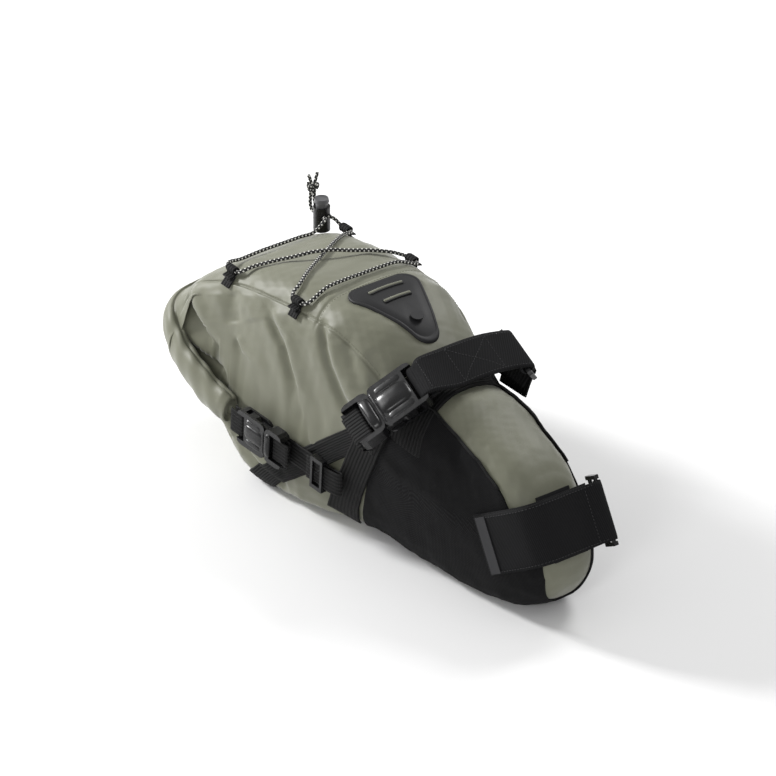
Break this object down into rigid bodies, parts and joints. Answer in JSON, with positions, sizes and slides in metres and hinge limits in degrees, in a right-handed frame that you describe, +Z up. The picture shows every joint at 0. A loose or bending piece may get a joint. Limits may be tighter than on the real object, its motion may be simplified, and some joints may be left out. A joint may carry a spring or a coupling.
{
  "type": "saddle bag",
  "caption": "Roll-top bikepacking saddle bag, stuffed, with rail strap, side closure buckles, shock cord lashing and a hook-and-loop seatpost strap.",
  "frame": {"origin": "centre of the bounding box in plan, on the plane the bag rests on", "axes": "+X towards the seatpost end, +Y to the rider's left, +Z up"},
  "size_m": [0.5242, 0.209, 0.2329],
  "materials": {
    "green_fabric": "satin coated nylon",
    "black_fabric": "matte woven",
    "webbing": "ribbed webbing",
    "hook_loop": "matte twill",
    "rubber": "matte",
    "stiffener_sheet": "matte",
    "shock_cord": "braided with light flecks",
    "spring_steel": "bright",
    "grey_plastic": "satin",
    "black_plastic": "satin gloss"
  },
  "bodies": {
    "bag": {"shell": "green_fabric", "reinforcement_panel": "black_fabric", "leg_right": "webbing", "leg_left": "webbing", "belly_strap": "webbing", "top_webbing": "webbing", "light_patch": "rubber", "patch_badge": "rubber", "bottom_stiffener": "stiffener_sheet", "roll_top": "green_fabric", "bungee_cord": "shock_cord", "cord_tails": "shock_cord", "cord_knot": "shock_cord", "loop_rear_right": "webbing", "loop_rear_left": "webbing", "loop_mid_right": "webbing", "loop_mid_left": "webbing", "cord_lock_body": "black_plastic", "cord_lock_spring": "spring_steel", "rail_socket": "black_plastic", "rail_link": "webbing", "rail_strap": "hook_loop", "rail_ring": "black_plastic", "rail_ring_tab": "webbing", "socket_right": "black_plastic", "closure_tab_right": "webbing", "closure_strap_right": "webbing", "socket_left": "black_plastic", "closure_tab_left": "webbing", "closure_strap_left": "webbing", "nose_grip": "rubber", "seatpost_strap": "hook_loop", "seatpost_ring": "black_plastic", "seatpost_tab": "webbing"},
    "lock_button": {"cord_lock_button": "grey_plastic"},
    "rail_plug_body": {"rail_plug": "black_plastic", "rail_plug_loop": "webbing"},
    "rail_prong_front_body": {"rail_prong_front": "black_plastic"},
    "rail_prong_rear_body": {"rail_prong_rear": "black_plastic"},
    "plug_right_body": {"plug_right": "black_plastic", "plug_loop_right": "webbing"},
    "prong_right_upper_body": {"prong_right_upper": "black_plastic"},
    "prong_right_lower_body": {"prong_right_lower": "black_plastic"},
    "glide_right_body": {"tri_glide_right": "black_plastic"},
    "plug_left_body": {"plug_left": "black_plastic", "plug_loop_left": "webbing"},
    "prong_left_upper_body": {"prong_left_upper": "black_plastic"},
    "prong_left_lower_body": {"prong_left_lower": "black_plastic"},
    "glide_left_body": {"tri_glide_left": "black_plastic"},
    "flap_body": {"seatpost_flap": "hook_loop", "flap_label": "rubber"}
  },
  "joints": [
    {"name": "cord_lock_press", "type": "slide", "parent": "bag", "child": "lock_button", "axis": [0, 0, -1], "range_m": [0, 0.0045], "stiffness_N_per_m": 300, "deforming": ["cord_lock_spring"]},
    {"name": "rail_plug_release", "type": "slide", "parent": "bag", "child": "rail_plug_body", "axis": [-0.3007, -0.792, -0.5314], "range_m": [0, 0.024]},
    {"name": "rail_prong_rear_press", "type": "hinge", "parent": "rail_plug_body", "child": "rail_prong_rear_body", "pos_m": [0.04636, -0.07442, 0.15694], "axis": [0.0997, -0.5801, 0.8084], "range_deg": [-5, 0], "stiffness_Nm_per_rad": 0.4},
    {"name": "rail_prong_front_press", "type": "hinge", "parent": "rail_plug_body", "child": "rail_prong_front_body", "pos_m": [0.08278, -0.08172, 0.14721], "axis": [0.0997, -0.5801, 0.8084], "range_deg": [0, 5], "stiffness_Nm_per_rad": 0.4},
    {"name": "closure_plug_right_release", "type": "slide", "parent": "bag", "child": "plug_right_body", "axis": [0.9951, 0.0663, -0.0731], "range_m": [0, 0.018]},
    {"name": "prong_right_upper_press", "type": "hinge", "parent": "plug_right_body", "child": "prong_right_upper_body", "pos_m": [-0.06822, -0.09473, 0.07837], "axis": [0.0661, -0.9978, -0.0049], "range_deg": [0, 5], "stiffness_Nm_per_rad": 0.3},
    {"name": "prong_right_lower_press", "type": "hinge", "parent": "plug_right_body", "child": "prong_right_lower_body", "pos_m": [-0.07008, -0.09473, 0.05304], "axis": [0.0661, -0.9978, -0.0049], "range_deg": [-5, 0], "stiffness_Nm_per_rad": 0.3},
    {"name": "tri_glide_right_slide", "type": "slide", "parent": "bag", "child": "glide_right_body", "axis": [-0.9951, -0.0663, 0.0731], "range_m": [0, 0.008]},
    {"name": "closure_plug_left_release", "type": "slide", "parent": "bag", "child": "plug_left_body", "axis": [0.9951, -0.0663, -0.0731], "range_m": [0, 0.018]},
    {"name": "prong_left_upper_press", "type": "hinge", "parent": "plug_left_body", "child": "prong_left_upper_body", "pos_m": [-0.06822, 0.09473, 0.07837], "axis": [0.0661, 0.9978, -0.0049], "range_deg": [-5, 0], "stiffness_Nm_per_rad": 0.3},
    {"name": "prong_left_lower_press", "type": "hinge", "parent": "plug_left_body", "child": "prong_left_lower_body", "pos_m": [-0.07008, 0.09473, 0.05304], "axis": [0.0661, 0.9978, -0.0049], "range_deg": [0, 5], "stiffness_Nm_per_rad": 0.3},
    {"name": "tri_glide_left_slide", "type": "slide", "parent": "bag", "child": "glide_left_body", "axis": [-0.9951, 0.0663, 0.0731], "range_m": [0, 0.008]},
    {"name": "seatpost_flap_open", "type": "hinge", "parent": "bag", "child": "flap_body", "pos_m": [0.24442, 0.037, 0.09939], "axis": [-0.4819, 0, 0.8762], "range_deg": [0, 100]}
  ]
}
